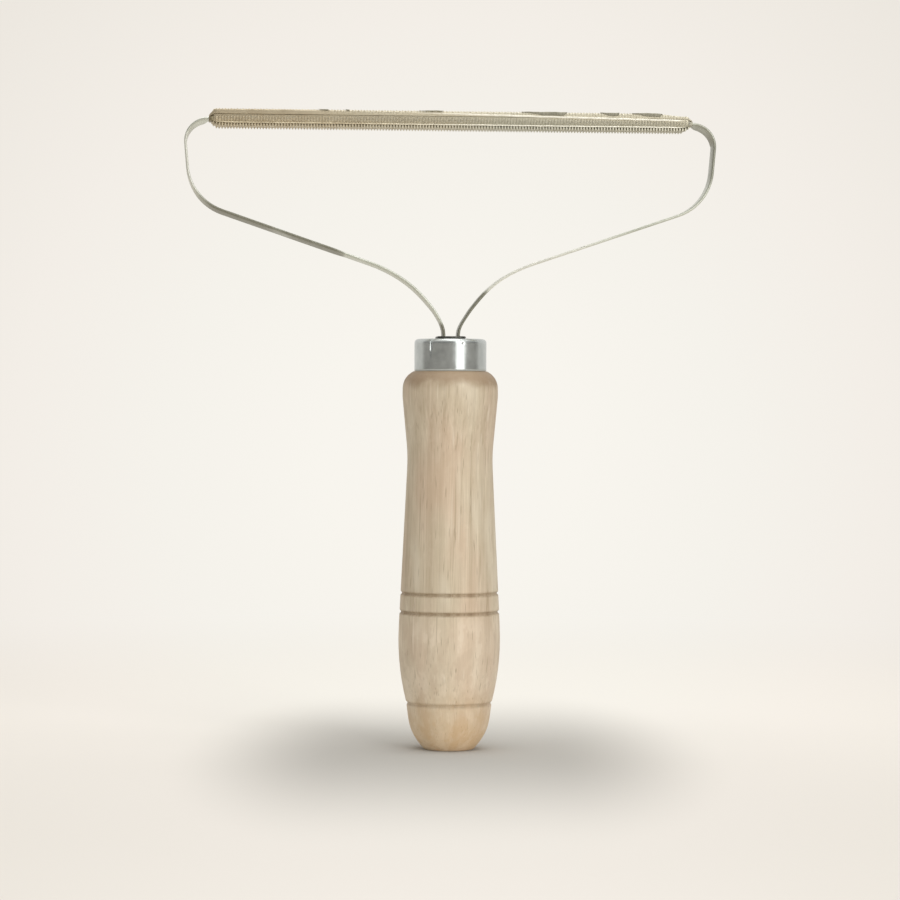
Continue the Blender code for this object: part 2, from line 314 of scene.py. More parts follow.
# Heights on the grip where its tones change, and the depths of its relief.
belly_top = 0.0330
waist_foot = 0.0450
tip_stain_full = 0.0030
tip_stain_end = 0.0230
shoulder_dark_full = 0.0022
shoulder_dark_end = 0.0058
tone_wander = 0.0050
grip_half_width = 0.0150
tool_mark_depth = 0.00001
bundle_depth = 0.00004
fibre_depth = 0.00005
pore_depth = 0.00006
wood = Finish("turned_wood", 0.6, 0.0)
grain = wood.stretched(wood.place, (1, 1, 1), rotation=(math.radians(1.2), math.radians(-1.0), 0))
fibres = wood.noise(wood.stretched(grain, (1, 1, 0.016)), 2600, 3.0, 0.6)
bundles = wood.noise(wood.stretched(grain, (1, 1, 0.022)), 480, 4.0, 0.62)
patches = wood.noise(wood.stretched(grain, (1, 1, 0.30)), 80, 2.0, 0.5)
blotches = wood.noise(wood.stretched(grain, (1, 1, 0.55)), 210, 3.0, 0.6)
rings = wood.add("TexWave", "Fac", {
    "Vector": wood.stretched(grain, (1, 1, 0.08), location=(0.0900, 0.0350, 0)),
    "Scale": 105.0, "Distortion": 2.2, "Detail": 2.0, "Detail Scale": 0.5, "Detail Roughness": 0.5,
}, wave_type="RINGS", rings_direction="Z", wave_profile="SAW")
pores = wood.add("TexVoronoi", "Distance", {
    "Vector": wood.stretched(grain, (1, 1, 0.055)), "Scale": 1500.0, "Randomness": 1.0})
pore_marks = wood.between(pores, 0.07, 0.20, 1.0, 0.0)
vessels = wood.noise(wood.stretched(grain, (1, 1, 0.010)), 950, 1.0)
vessel_lines = wood.between(vessels, 0.66, 0.74)
pale_lines = wood.between(vessels, 0.36, 0.27)
height = wood.axis("Z")
streaks = wood.maths("ADD", wood.maths("MULTIPLY", fibres, 0.38), wood.maths("MULTIPLY", bundles, 0.62))
streaks = wood.maths("ADD", streaks, wood.maths("MULTIPLY", wood.maths("SUBTRACT", rings, 0.5), 0.09))
pale = wood.ramp(streaks, [(0.30, screen(183, 167, 144)), (0.44, screen(200, 185, 163)),
                           (0.55, screen(210, 196, 175)), (0.70, screen(226, 214, 195))])
blush = wood.ramp(patches, [(0.36, screen(250, 252, 244)), (0.64, screen(255, 248, 242))])
tone = wood.mix(1.0, pale, blush, "MULTIPLY")
tone = wood.tinted(tone, wood.between(patches, 0.53, 0.68), 0.32, screen(198, 170, 140))
tone = wood.tinted(tone, wood.between(patches, 0.47, 0.33), 0.40, screen(236, 224, 205))
belly_light_zone = wood.between(height, belly_top, waist_foot, 1.0, 0.25)
dull_blotches = wood.overlap(wood.between(blotches, 0.50, 0.62), belly_light_zone)
pale_blotches = wood.overlap(wood.between(blotches, 0.47, 0.38), belly_light_zone)
tone = wood.tinted(tone, dull_blotches, 0.42, screen(178, 152, 124))
tone = wood.tinted(tone, pale_blotches, 0.45, screen(234, 220, 198))
# Painted light: the belly is painted paler, as if it were lit more than the rest of the grip.
tone = wood.tinted(tone, belly_light_zone, 0.36, screen(238, 221, 198))
tone = wood.tinted(tone, pale_lines, 0.40, screen(236, 225, 206))
tone = wood.tinted(tone, vessel_lines, 0.35, screen(158, 136, 108))
tone = wood.tinted(tone, pore_marks, 0.45, screen(142, 118, 90))
wander = wood.maths("SUBTRACT", wood.noise(wood.place, 150, 2.0, 0.5), 0.5)
uneven = wood.maths("ADD", height, wood.maths("MULTIPLY", wander, tone_wander))
# A darker brown band just under the cap, with a wandering lower edge.
shoulder_darkening = wood.between(uneven, seat_height - shoulder_dark_end, seat_height - shoulder_dark_full)
tone = wood.tinted(tone, shoulder_darkening, 0.85, screen(154, 130, 102))
tip_stain = wood.between(uneven, tip_stain_full, tip_stain_end, 1.0, 0.0)
tip_patches = wood.between(blotches, 0.40, 0.62, 0.42, 0.68)
tone = wood.tinted(tone, tip_stain, tip_patches, screen(205, 172, 127))
# Painted shade: the grip is painted darker towards its left and right sides.
side_shade = wood.ramp(wood.between(wood.axis("X"), -grip_half_width, grip_half_width), [
    (0.0, screen(236, 236, 236)), (0.45, screen(255, 255, 255)), (0.70, screen(255, 255, 255)),
    (1.0, screen(236, 236, 236))])
tone = wood.mix(1.0, tone, side_shade, "MULTIPLY")
# Painted shade: each groove is painted a darker brown, patchily.
for level, strength in zip(groove_levels, groove_strengths):
    near = wood.maths("ABSOLUTE", wood.maths("SUBTRACT", height, level))
    painted_light = wood.between(near, groove_half_width * 0.4, groove_half_width * 1.5, 1.0, 0.0)
    painted_light = wood.overlap(painted_light, wood.between(bundles, 0.30, 0.60, 1.0, 0.6))
    tone = wood.tinted(tone, painted_light, strength * 0.75, screen(132, 108, 76))
wood.set("Base Color", tone)
wood.set("Roughness", wood.between(fibres, 0.3, 0.7, 0.68, 0.52))
tool_marks = wood.noise(wood.stretched(wood.place, (0.02, 0.02, 1)), 2200, 1.0)
wood.emboss([(tool_marks, tool_mark_depth), (bundles, bundle_depth), (fibres, fibre_depth),
             (wood.maths("SUBTRACT", 1.0, pore_marks), pore_depth)])

handle = add_piece("turned_handle", grip, wood, "turned_wood", "handle")
wedge_half_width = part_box("leg_wedge")[1].x
strip_low, strip_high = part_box("spring_band")
grommet_low, grommet_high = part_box("neck_grommet")
passage = Vector((wedge_half_width + strip_thickness + 2 * clearance, strip_high.y + clearance, 0))
sleeve = passage + Vector((sleeve_wall, sleeve_wall, 0))
slot_reach = sleeve + Vector((clearance, clearance, 0))
cut_opening(handle, passage, strip_low.z - mortise_floor, tenon_top + clearance, clearance)
cut_opening(handle, slot_reach, grommet_low.z - clearance, tenon_top + 2 * clearance, slot_corner)

# Cross pin and wedge: a steel pin and a hardwood wedge shut inside the tenon, where they hold the strip's
# two legs. They keep their plain solids.
pin_facets = 24
scuff_depth = 0.00002
oxide = Finish("dark_steel", 0.42, 1.0)
scuffs = oxide.noise(oxide.place, 900, 4.0, 0.65)
oxide.set("Base Color", oxide.ramp(scuffs, [(0.35, screen(74, 73, 70)), (0.55, screen(98, 97, 92)),
                                            (0.75, screen(140, 138, 130))]))
oxide.set("Roughness", oxide.between(scuffs, 0.3, 0.7, 0.52, 0.34))
oxide.emboss([(scuffs, scuff_depth)])

pin_low, pin_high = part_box("leg_pin")
drill_radius = (pin_high.z - pin_low.z) / 2 + clearance
drill = bmesh.new()
bmesh.ops.create_cone(drill, cap_ends=True, segments=pin_facets, radius1=drill_radius, radius2=drill_radius,
                      depth=2 * (tenon_radius + clearance))
bmesh.ops.rotate(drill, verts=drill.verts, matrix=Matrix.Rotation(math.pi / 2, 3, "Y"))
bmesh.ops.translate(drill, verts=drill.verts, vec=(pin_low + pin_high) / 2)
hollow_out(handle, drill)
for node, finish in (("leg_pin", oxide), ("leg_wedge", wood)):
    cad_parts[node].data.materials.clear()
    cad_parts[node].data.materials.append(finish.material)

# Spring strip: one length of rolled spring steel with rounded edges, bent over formers into the whole hoop.
# Its legs spread a little above the cap, and its left arm and upper corners lean a few degrees. It is
# painted darker, partly as dulling from handling and partly as shade, most on the left arm, the right side
# and the legs, and painted paler as a sheen on its left side and on its right arm near the neck.
edge_rounding = 0.00028
cloth_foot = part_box("lower_scraper_mesh")[0].z
arm_lean = math.radians(6.8)
arm_lean_end = -0.0300
arm_lean_ease = 0.0040
neck_lean_end = -0.0030
neck_lean_share = 0.50
corner_lean = math.radians(8)
corner_ease = 0.0016
clip_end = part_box("right_end_clip")[1].x
arm_cuts = 23
leg_spread_foot = 0.1234
leg_spread_crest = 0.1298
leg_spread_top = 0.1410
left_leg_spread = 0.00068
right_leg_spread = 0.00120

# The strip's tones change over these stretches, across in X and up in Z.
left_arm_from = (-0.0770, -0.0700)
left_arm_to = (-0.0325, -0.0312)
left_arm_top = (0.1640, 0.1700)
left_leg_top = (0.1258, 0.1270)
left_side_to = (-0.0740, -0.0700)
left_side_foot = (0.1620, 0.1680)
left_corner = (0.1805, 0.1840)
neck_middle = (-0.0005, 0.0005)
right_leg_top = (0.1352, 0.1368)
right_arm_from = (0.0095, 0.0115)
right_arm_to = (0.0300, 0.0550)
right_arm_top = (0.1600, 0.1650)
right_side_from = (0.0700, 0.0740)
right_side_foot = (0.1660, 0.1720)
rolling_depth = 0.00001
smear_depth = 0.00003


def clamped(value):
    """A value kept from 0 to 1."""
    return min(1.0, max(0.0, value))


def smooth(value, low, high):
    """An even blend from 0 at one value to 1 at another."""
    share = clamped((value - low) / (high - low))
    return share * share * (3 - 2 * share)


def solid_copy(node):
    """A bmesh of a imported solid, its loose triangles joined back into whole faces."""
    bm = bmesh.new()
    bm.from_mesh(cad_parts[node].data)
    bmesh.ops.remove_doubles(bm, verts=bm.verts, dist=same_place)
    bmesh.ops.join_triangles(bm, faces=bm.faces, angle_face_threshold=math.radians(1),
                             angle_shape_threshold=math.radians(180))
    return bm


def soften(bm, edges, offset, segments=3):
    """Rounds some edges of a bmesh."""
    bmesh.ops.bevel(bm, geom=edges, offset=offset, affect="EDGES", segments=segments, profile=0.5,
                    material=-1, clamp_overlap=True)


def sharp_edges(bm, angle=sharp_edge):
    """The edges of a bmesh where its faces meet at more than an angle."""
    return [e for e in bm.edges if len(e.link_faces) == 2 and e.calc_face_angle() > angle]


strip = solid_copy("spring_band")
long_edges = [e for e in sharp_edges(strip) if all(abs(abs(v.co.y) - strip_high.y) < clearance / 10
                                                   for v in e.verts)]
soften(strip, long_edges, edge_rounding)
arm_edges = [e for e in strip.edges if e.calc_length() > strip_high.x / 4
             and max(v.co.x for v in e.verts) < 0 and min(v.co.z for v in e.verts) > grommet_high.z
             and max(v.co.z for v in e.verts) < cloth_foot - strip_high.y]
bmesh.ops.subdivide_edges(strip, edges=arm_edges, cuts=arm_cuts, use_grid_fill=True)
for vertex in strip.verts:
    if vertex.co.z < leg_spread_top:
        spread = right_leg_spread if vertex.co.x > 0 else -left_leg_spread
        spread *= smooth(vertex.co.z, leg_spread_foot, leg_spread_crest)
        vertex.co.x += spread * (1 - smooth(vertex.co.z, leg_spread_crest, leg_spread_top))
    if vertex.co.z < cloth_foot - strip_high.y:
        began = clamped((vertex.co.x + strip_high.x) / arm_lean_ease)
        ended = clamped((arm_lean_end - vertex.co.x) / arm_lean_ease)
        near_neck = clamped((neck_lean_end - vertex.co.x) / arm_lean_ease)
        lean = max(min(began, ended), neck_lean_share * min(began, near_neck))
        vertex.co.z -= vertex.co.y * math.tan(arm_lean * lean)
    else:
        lean = corner_lean * smooth(abs(vertex.co.x), clip_end, clip_end + corner_ease)
        vertex.co.z -= (vertex.co.y + strip_high.y) * math.tan(lean)

steel = Finish("spring_steel", 0.34, 0.85)
rolled = steel.noise(steel.stretched(steel.place, (0.02, 1, 0.02)), 5200, 2.0)
smears = steel.noise(steel.place, 130, 3.0, 0.6)
across = steel.axis("X")
up = steel.axis("Z")
left_arm = steel.overlap(steel.between(across, *left_arm_from),
                         steel.between(across, *left_arm_to, 1.0, 0.0),
                         steel.between(up, *left_arm_top, 1.0, 0.0))
right_side = steel.overlap(steel.between(across, *right_side_from),
                           steel.between(up, *right_side_foot, 0.0, 0.72))
legs = steel.blend(steel.between(across, *neck_middle), steel.between(up, *left_leg_top, 1.0, 0.0),
                   steel.between(up, *right_leg_top, 1.0, 0.0))
# Painted shade, with some dulling from handling: the left arm, the right side and the legs are painted
# darker.
dulled_and_shaded = steel.maths("MAXIMUM", steel.maths("MAXIMUM", left_arm, right_side), legs)
dulled_and_shaded = steel.overlap(dulled_and_shaded, steel.between(smears, 0.30, 0.55, 0.7, 1.0))
left_side = steel.overlap(steel.between(across, *left_side_to, 1.0, 0.0),
                          steel.between(up, *left_side_foot, 0.0, 0.45),
                          steel.between(up, *left_corner, 1.0, 0.2))
right_arm = steel.overlap(steel.between(across, *right_arm_from),
                          steel.between(across, *right_arm_to, 0.50, 0.0),
                          steel.between(up, *right_arm_top, 1.0, 0.0))
# Painted sheen: the strip's left side and its right arm near the neck are painted paler and less metallic.
painted_sheen = steel.maths("MAXIMUM", left_side, right_arm)
bare = steel.ramp(rolled, [(0.30, screen(180, 182, 169)), (0.70, screen(206, 208, 196))])
bare = steel.mix(painted_sheen, bare, screen(236, 234, 225))
steel.set("Base Color", steel.tinted(bare, dulled_and_shaded, 0.8, screen(112, 109, 94)))
steel.set("Metallic", steel.between(painted_sheen, 0.0, 1.0, 0.85, 0.45))
steel.set("Roughness", steel.between(smears, 0.3, 0.7, 0.30, 0.44))
steel.emboss([(rolled, rolling_depth), (smears, smear_depth)])
add_piece("spring_strip", strip, steel, "spring_steel", "spring_band")

# Neck sleeve: a pressed and blackened steel bush that lines the cap's slot. Its flange is the dark plate on
# the cap, and its barrel keeps the strip's legs off the cap's thin edge.
sleeve_rounding = 0.00014
sleeve_sharp_edge = math.radians(50)
flange_share = 0.55
bush = solid_copy("neck_grommet")
cap_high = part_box("ferrule_cap")[1]
for vertex in bush.verts:
    if vertex.co.z > cap_high.z:
        vertex.co.z = cap_high.z + (vertex.co.z - cap_high.z) * flange_share
soften(bush, sharp_edges(bush, sleeve_sharp_edge), sleeve_rounding)
add_piece("neck_sleeve", bush, oxide, "dark_steel", "neck_grommet")

# Ferrule cap: a cup drawn from bright steel sheet and pressed over the tenon, with a slot punched in its
# top. The draw left one wedge-shaped pleat in its shoulder, and a prick punch left the small dot that locks
# it on.
cap_wall = 0.00055
shoulder_gap = 0.00006
cap_foot = seat_height + shoulder_gap
cap_rounding = 0.0012
cap_rounding_steps = 10
cap_lip = 0.00018
cap_lip_bend = (0.30, 0.35)
cap_facets = 420
cap_ring_gap = 0.0003
cap_top_rings = 12
pleat_azimuth = math.radians(-39.0)
pleat_length = 0.0066
pleat_width = 0.00150
pleat_depth = 0.00040
dot_azimuth = math.radians(15.3)
dot_drop = 0.00145
dot_radius = 0.00042
dot_depth = 0.00012
draw_wave_depth = 0.000022
draw_line_depth = 0.000002


def cup_profile(radius, low, high, rounding):
    """Points (radius, height) from a cup's open rim, up its wall and round its shoulder to the axis."""
    flat_radius = radius - rounding
    wall_top = high - rounding
    rings = math.ceil((wall_top - low) / cap_ring_gap)
    points = [(radius, low + (wall_top - low) * i / rings) for i in range(rings)]
    for i in range(cap_rounding_steps + 1):
        angle = math.pi / 2 * i / cap_rounding_steps
        points.append((flat_radius + rounding * math.cos(angle), wall_top + rounding * math.sin(angle)))
    points += [(flat_radius * (1 - i / cap_top_rings), high) for i in range(1, cap_top_rings + 1)]
    return points


outside = cup_profile(cap_high.x, cap_foot, cap_high.z, cap_rounding)
outside[0] = (cap_high.x - cap_lip, cap_foot)
outside.insert(1, (cap_high.x - cap_lip * cap_lip_bend[0], cap_foot + cap_lip * cap_lip_bend[1]))
inside = cup_profile(cap_high.x - cap_wall, cap_foot, cap_high.z - cap_wall, cap_rounding - cap_wall)
cup = turned(inside[::-1] + outside, cap_facets)
for vertex in cup.verts:
    azimuth = math.atan2(vertex.co.x, -vertex.co.y)
    radius = vertex.co.xy.length
    if radius < cap_high.x - cap_rounding - cap_wall:
        continue
    drop = cap_high.z - vertex.co.z
    share = max(0.0, 1 - drop / pleat_length)
    aside = (azimuth - pleat_azimuth) * cap_high.x
    inward = 0.0
    if 0 <= aside < pleat_width * share:
        inward = pleat_depth * (share - aside / pleat_width)
    from_dot = math.hypot((azimuth - dot_azimuth) * cap_high.x, drop - dot_drop)
    if from_dot < dot_radius and radius > cap_high.x - cap_wall / 2:
        inward = dot_depth * (1 - (from_dot / dot_radius) ** 2)
    flat = vertex.co.xy.normalized() * (radius - inward)
    vertex.co = (flat.x, flat.y, vertex.co.z)

bright = Finish("drawn_steel", 0.22, 1.0)
handled = bright.noise(bright.place, 240, 3.0, 0.6)
drawn = bright.noise(bright.stretched(bright.place, (1, 1, 0.05)), 2600, 2.0)
bright.set("Base Color", bright.ramp(handled, [(0.35, screen(184, 188, 186)),
                                               (0.65, screen(196, 200, 198))]))
bright.set("Roughness", bright.between(handled, 0.3, 0.7, 0.20, 0.27))
flow = bright.noise(bright.stretched(bright.place, (1, 1, 0.03)), 620, 1.0)
bright.emboss([(flow, draw_wave_depth), (drawn, draw_line_depth)])
cap = add_piece("drawn_cap", cup, bright, "drawn_steel", "ferrule_cap")
cut_opening(cap, slot_reach, cap_high.z - 2 * cap_wall, cap_high.z + cap_wall, slot_corner)

# Folded cloth: brass wire cloth, stiff cross wires with thin long wires woven between them. The middle layer
# is folded round the strip and the upper one by itself, each over packed inner plies. All the layers are
# pressed together on the strip at their two ends.
rib_pitch = 0.00087
rib_sides = 6
upper_rib_wire = 0.00028
middle_rib_wire = 0.00026
corner_steps = 2
weft_wire = 0.00007
weft_sides = 4
weft_gap = 0.00062
layer_gap = 0.00005
nesting = Vector((0, 0, 0.00014))
fold_corner = 0.00032
ply_step = 0.00004
gap_rounding = 0.00012
upper_press_length = 0.0016
lower_press_length = 0.0024
pressed_share = 0.34
pressed_depth_share = 0.85
strip_middle = strip_high.z - strip_thickness / 2
upper_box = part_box("upper_scraper_mesh")
middle_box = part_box("middle_scraper_mesh")
lower_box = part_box("lower_scraper_mesh")
cloth_end = upper_box[1].x

# The upper layer slumps at its right end, and to the left it is worn flat down to its inner plies.
slump_start = 0.0600
slump_length = 0.0095
slump_share = 0.50
slump_cuts = 6
flat_end = -0.0340
flat_fade = 0.0080
flat_cuts = 4
worn_flat = 0.48
flat_face_share = 0.85
flat_top_share = 0.25

# The brass goes from brown to grey along X, and its upper rows are painted paler over these stretches of X,
# as a highlight.
brown_to_grey = (-0.055, 0.030)
upper_highlight_span = (-0.060, 0.000)
middle_highlight_span = (-0.030, 0.040)
tarnish_depth = 0.00002


def pressed(bm):
    """Presses the two ends of the cloth towards the strip, and flattens the upper layer's right end."""
    for vertex in bm.verts:
        above = vertex.co.z - upper_box[0].z
        if above > 0:
            vertex.co.z -= above * slump_share * smooth(vertex.co.x, slump_start, slump_start + slump_length)
        rise = vertex.co.z - strip_middle
        length = upper_press_length if rise > 0 else lower_press_length
        share = clamped((cloth_end - abs(vertex.co.x)) / length)
        vertex.co.z = strip_middle + rise * (pressed_share + (1 - pressed_share) * share)
        vertex.co.y *= pressed_depth_share + (1 - pressed_depth_share) * share


def rib_places(half_length, wire):
    """The X places of a layer's cross wires, from end to end."""
    count = int((half_length - wire) / rib_pitch) * 2
    return [(i - count / 2) * rib_pitch for i in range(count + 1)]


def repeated(bm, places):
    """Repeats a cross wire made at X zero at each of its places."""
    bmesh.ops.translate(bm, verts=bm.verts, vec=(places[0], 0, 0))
    bmesh.ops.spin(bm, geom=bm.verts[:] + bm.edges[:] + bm.faces[:], axis=(1, 0, 0), dvec=(rib_pitch, 0, 0),
                   steps=len(places) - 1, use_duplicate=True)


def folded_rib(box, wire, reach):
    """One cross wire that runs right round a folded layer."""
    low, high = box
    side = high.y - reach - fold_corner
    rise = (high.z - low.z) / 2 - reach - fold_corner
    bm = bmesh.new()
    ring = bmesh.ops.create_circle(bm, segments=rib_sides, radius=wire)["verts"]
    bmesh.ops.rotate(bm, verts=ring, matrix=Matrix.Rotation(math.pi / 2, 3, "X"))
    bmesh.ops.translate(bm, verts=ring, vec=(0, side, rise + fold_corner))
    grown = list({e for v in ring for e in v.link_edges}) + ring
    for centre, run in (((0, side, rise), (0, 0, -2 * rise)), ((0, side, -rise), (0, -2 * side, 0)),
                        ((0, -side, -rise), (0, 0, 2 * rise)), ((0, -side, rise), (0, 2 * side, 0))):
        grown = bmesh.ops.spin(bm, geom=grown, cent=centre, axis=(-1, 0, 0), angle=math.pi / 2,
                               steps=corner_steps)["geom_last"]
        grown = bmesh.ops.spin(bm, geom=grown, axis=(1, 0, 0), dvec=run, steps=1)["geom_last"]
    bmesh.ops.remove_doubles(bm, verts=bm.verts, dist=clearance / 30)
    bmesh.ops.translate(bm, verts=bm.verts, vec=(0, 0, (low.z + high.z) / 2))
    return bm


def long_wire(places, wire, swing, phase):
    """A mesh of one thin long wire along X that passes over and under the cross wires."""
    bm = bmesh.new()
    ring = bmesh.ops.create_circle(bm, cap_ends=True, segments=weft_sides, radius=wire)["verts"]
    bmesh.ops.rotate(bm, verts=ring, matrix=Matrix.Rotation(math.pi / 2, 3, "Y"))
    bmesh.ops.translate(bm, verts=ring, vec=(places[0] - rib_pitch / 2, 0, 0))
    rim = list({e for v in ring for e in v.link_edges}) + ring
    last = bmesh.ops.spin(bm, geom=rim, axis=(1, 0, 0), dvec=(rib_pitch / 2, 0, 0), steps=2 * len(places))
    bmesh.ops.contextual_create(bm, geom=[v for v in last["geom_last"] if isinstance(v, bmesh.types.BMVert)])
    for vertex in bm.verts:
        station = round((vertex.co.x - places[0]) / rib_pitch * 2)
        if station % 2 == 0:
            vertex.co.z += swing if (station // 2 + phase) % 2 else -swing
    return mesh_of("long_wire", bm)


def woven(places, wire, swing, spots):
    """A bmesh of long wires, one at each spot (y, z) with its outward direction, every other one shifted."""
    pair = [long_wire(places, wire, swing, phase) for phase in (0, 1)]
    bm = bmesh.new()
    for index, (spot, outward) in enumerate(spots):
        mesh = pair[index % 2].copy()
        turn = Matrix.Rotation(math.atan2(-outward[0], outward[1]), 4, "X")
        mesh.transform(Matrix.Translation((0, *spot)) @ turn)
        bm.from_mesh(mesh)
        bpy.data.meshes.remove(mesh)
    return bm


def fold_spots(box, reach):
    """Spots (y, z) and outward directions for long wires, spaced evenly round a folded layer."""
    low, high = box
    side = high.y - reach - fold_corner
    rise = (high.z - low.z) / 2 - reach - fold_corner
    centre = Vector((0, (low.z + high.z) / 2))
    quarter = math.pi / 2 * fold_corner
    length = 4 * (side + rise + quarter)
    count = 2 * round(length / weft_gap / 2)
    spots = []
    for i in range(count):
        run = length * (i + 0.5) / count
        outward = Vector((0, 1))
        half, across = side, rise
        while run > 2 * half + quarter:
            run -= 2 * half + quarter
            outward = Vector((outward.y, -outward.x))
            half, across = across, half
        onward = Vector((outward.y, -outward.x))
        spot = centre + outward * across + onward * (min(run, 2 * half) - half)
        angle = max(0.0, run - 2 * half) / fold_corner
        aim = outward * math.cos(angle) + onward * math.sin(angle)
        spots.append((spot + aim * fold_corner, aim))
    return spots


def cut_across(bm, places):
    """Adds a ring of edges across a long bmesh at each of some X places."""
    for place in places:
        bmesh.ops.bisect_plane(bm, geom=bm.verts[:] + bm.edges[:] + bm.faces[:], dist=same_place,
                               plane_co=(place, 0, 0), plane_no=(1, 0, 0))


def plies(box, inset, top, foot, top_rounding, foot_rounding):
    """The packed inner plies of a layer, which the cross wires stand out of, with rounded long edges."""
    bm = slab(Vector((box[0].x, box[0].y + inset, foot)), Vector((box[1].x, box[1].y - inset, top)))
    for level, rounding in ((top, top_rounding), (foot, foot_rounding)):
        rim = [e for e in bm.edges if all(abs(v.co.z - level) < same_place for v in e.verts)
               and e.calc_length() > box[1].x]
        soften(bm, rim, rounding, 4)
    stations = [cloth_end - lower_press_length, cloth_end - upper_press_length]
    stations += [-station for station in stations]
    stations += [slump_start + slump_length * i / slump_cuts for i in range(slump_cuts + 1)]
    stations += [flat_end - flat_fade * i / flat_cuts for i in range(flat_cuts + 1)]
    cut_across(bm, stations)
    return bm


def brass(name, dark, mid, light, clean):
    """Dull brass wire: brown to the left, and grey to the right, where the upper rows are painted paler as a
    highlight.
    """
    finish = Finish(name, 0.42, 0.72)
    tarnish = finish.noise(finish.stretched(finish.place, (0.6, 1, 1)), 420, 4.0, 0.65)
    drift = finish.noise(finish.stretched(finish.place, (1, 0.2, 0.2)), 38, 1.0)
    across = finish.axis("X")
    up = finish.axis("Z")
    drifted = finish.maths("MULTIPLY", finish.maths("SUBTRACT", drift, 0.5), 0.5)
    greyer = finish.maths("ADD", finish.between(across, *brown_to_grey), drifted, True)
    base = finish.mix(greyer, finish.ramp(tarnish, [(0.30, dark), (0.50, mid), (0.72, light)]), clean)
    upper_row = finish.between(up, middle_box[1].z, upper_box[0].z)
    middle_row = finish.between(up, strip_middle - strip_thickness, middle_box[1].z)
    # Painted highlight: the upper and middle rows are painted paler and less metallic towards the right.
    upper_highlight = finish.overlap(upper_row, finish.between(across, *upper_highlight_span, 0.0, 0.42))
    middle_highlight = finish.overlap(middle_row, finish.between(across, *middle_highlight_span, 0.0, 0.38))
    painted_light = finish.maths("MAXIMUM", upper_highlight, middle_highlight)
    finish.set("Base Color", finish.mix(painted_light, base, screen(240, 232, 208)))
    finish.set("Metallic", finish.between(painted_light, 0.0, 1.0, 0.72, 0.35))
    finish.set("Roughness", finish.between(tarnish, 0.3, 0.7, 0.50, 0.34))
    finish.emboss([(tarnish, tarnish_depth)])
    return finish


rib_brass = brass("brass_rib_wire", screen(188, 174, 146), screen(206, 193, 166), screen(220, 209, 184),
                  screen(200, 197, 180))
weft_brass = brass("brass_long_wire", screen(184, 170, 142), screen(202, 189, 162), screen(220, 209, 184),
                   screen(196, 192, 175))
# Painted shade: the inner plies are painted darker than the wires, as the shade in the gaps between them.
shaded_ply_brass = brass("shaded_brass_inner_plies", screen(166, 153, 128), screen(182, 169, 143), screen(198, 187, 161),
                  screen(166, 162, 144))

upper_fold = (upper_box[0] - nesting, upper_box[1])
middle_reach = Vector((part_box("right_end_clip")[0].x - middle_box[1].x, 0, 0)) + nesting
middle_fold = (middle_box[0] - middle_reach, middle_box[1] + middle_reach)
upper_gap = (upper_box[0].z + middle_box[1].z) / 2
lower_gap = (middle_box[0].z + lower_box[1].z) / 2
strip_room = Vector((cloth_end, strip_high.y + clearance, strip_thickness / 2 + clearance))
for layer, fold, rib_wire in (("upper", upper_fold, upper_rib_wire),
                              ("middle", middle_fold, middle_rib_wire)):
    reach = rib_wire + 2 * weft_wire
    places = rib_places(fold[1].x, rib_wire)
    ribs = folded_rib(fold, rib_wire, reach)
    repeated(ribs, places)
    pressed(ribs)
    add_piece(layer + "_cross_wires", ribs, rib_brass, "brass_wire", layer + "_scraper_mesh")
    weft = woven(places, weft_wire, rib_wire + weft_wire, fold_spots(fold, reach))
    pressed(weft)
    add_piece(layer + "_long_wires", weft, weft_brass, "brass_wire")
    inset = reach - ply_step
    top = fold[1].z - inset if layer == "upper" else upper_gap - layer_gap / 2
    foot = (upper_gap if layer == "upper" else lower_gap) + layer_gap / 2
    packed = plies(fold, inset, top, foot, fold_corner if layer == "upper" else gap_rounding, gap_rounding)
    if layer == "upper":
        for vertex in packed.verts:
            flat = 1 - (1 - worn_flat) * smooth(vertex.co.x, flat_end - flat_fade, flat_end)
            vertex.co.y += math.copysign(flat * rib_wire * flat_face_share, vertex.co.y)
            if vertex.co.z > fold[1].z - inset - 2 * fold_corner:
                vertex.co.z += flat * rib_wire * flat_top_share
    pressed(packed)
    inner_plies = add_piece(layer + "_inner_plies", packed, shaded_ply_brass, "brass_wire")
    if layer == "middle":
        cut_opening(inner_plies, strip_room, strip_middle - strip_room.z, strip_middle + strip_room.z,
                    clearance / 3)

# Toothed ply: the lowest layer of the same cloth, packed flat. Its cross wires are cut off straight, and
# their ends are pressed taller and stand out as teeth on both faces of the head.
tooth_wire = 0.00026
tooth_reach = 0.0010
tooth_bevel = 0.00012
tooth_length = 0.0008
tooth_end = 0.0014
tooth_tip_share = 0.8
thin_wire = 0.00006
weft_margin = 0.0015
ply_foot = 0.00032


def toothed_rib(box, wire):
    """One straight cross wire, its two cut ends pressed taller into teeth."""
    low, high = box
    middle = (low.z + high.z) / 2
    bm = bmesh.new()
    ring = bmesh.ops.create_circle(bm, segments=rib_sides, radius=wire)["verts"]
    bmesh.ops.rotate(bm, verts=ring, matrix=Matrix.Rotation(math.pi / 2, 3, "X")
                     @ Matrix.Rotation(math.pi / rib_sides, 3, "Z"))
    bmesh.ops.translate(bm, verts=ring, vec=(0, low.y, middle))
    tall = (high.z - low.z) / 2 / (wire * math.cos(math.pi / rib_sides))
    stations = [(0.0, tall * tooth_tip_share), (tooth_bevel, tall), (tooth_length, tall), (tooth_end, 1.0)]
    stations += [(2 * high.y - run, stretch) for run, stretch in reversed(stations)]
    grown = list({e for v in ring for e in v.link_edges}) + ring
    for (run, _), (next_run, _) in zip(stations, stations[1:]):
        grown = bmesh.ops.spin(bm, geom=grown, axis=(1, 0, 0), dvec=(0, next_run - run, 0),
                               steps=1)["geom_last"]
    bmesh.ops.holes_fill(bm, edges=bm.edges, sides=rib_sides)
    for vertex in bm.verts:
        stretch = min(stations, key=lambda station: abs(low.y + station[0] - vertex.co.y))[1]
        vertex.co.z = middle + (vertex.co.z - middle) * stretch
    return bm


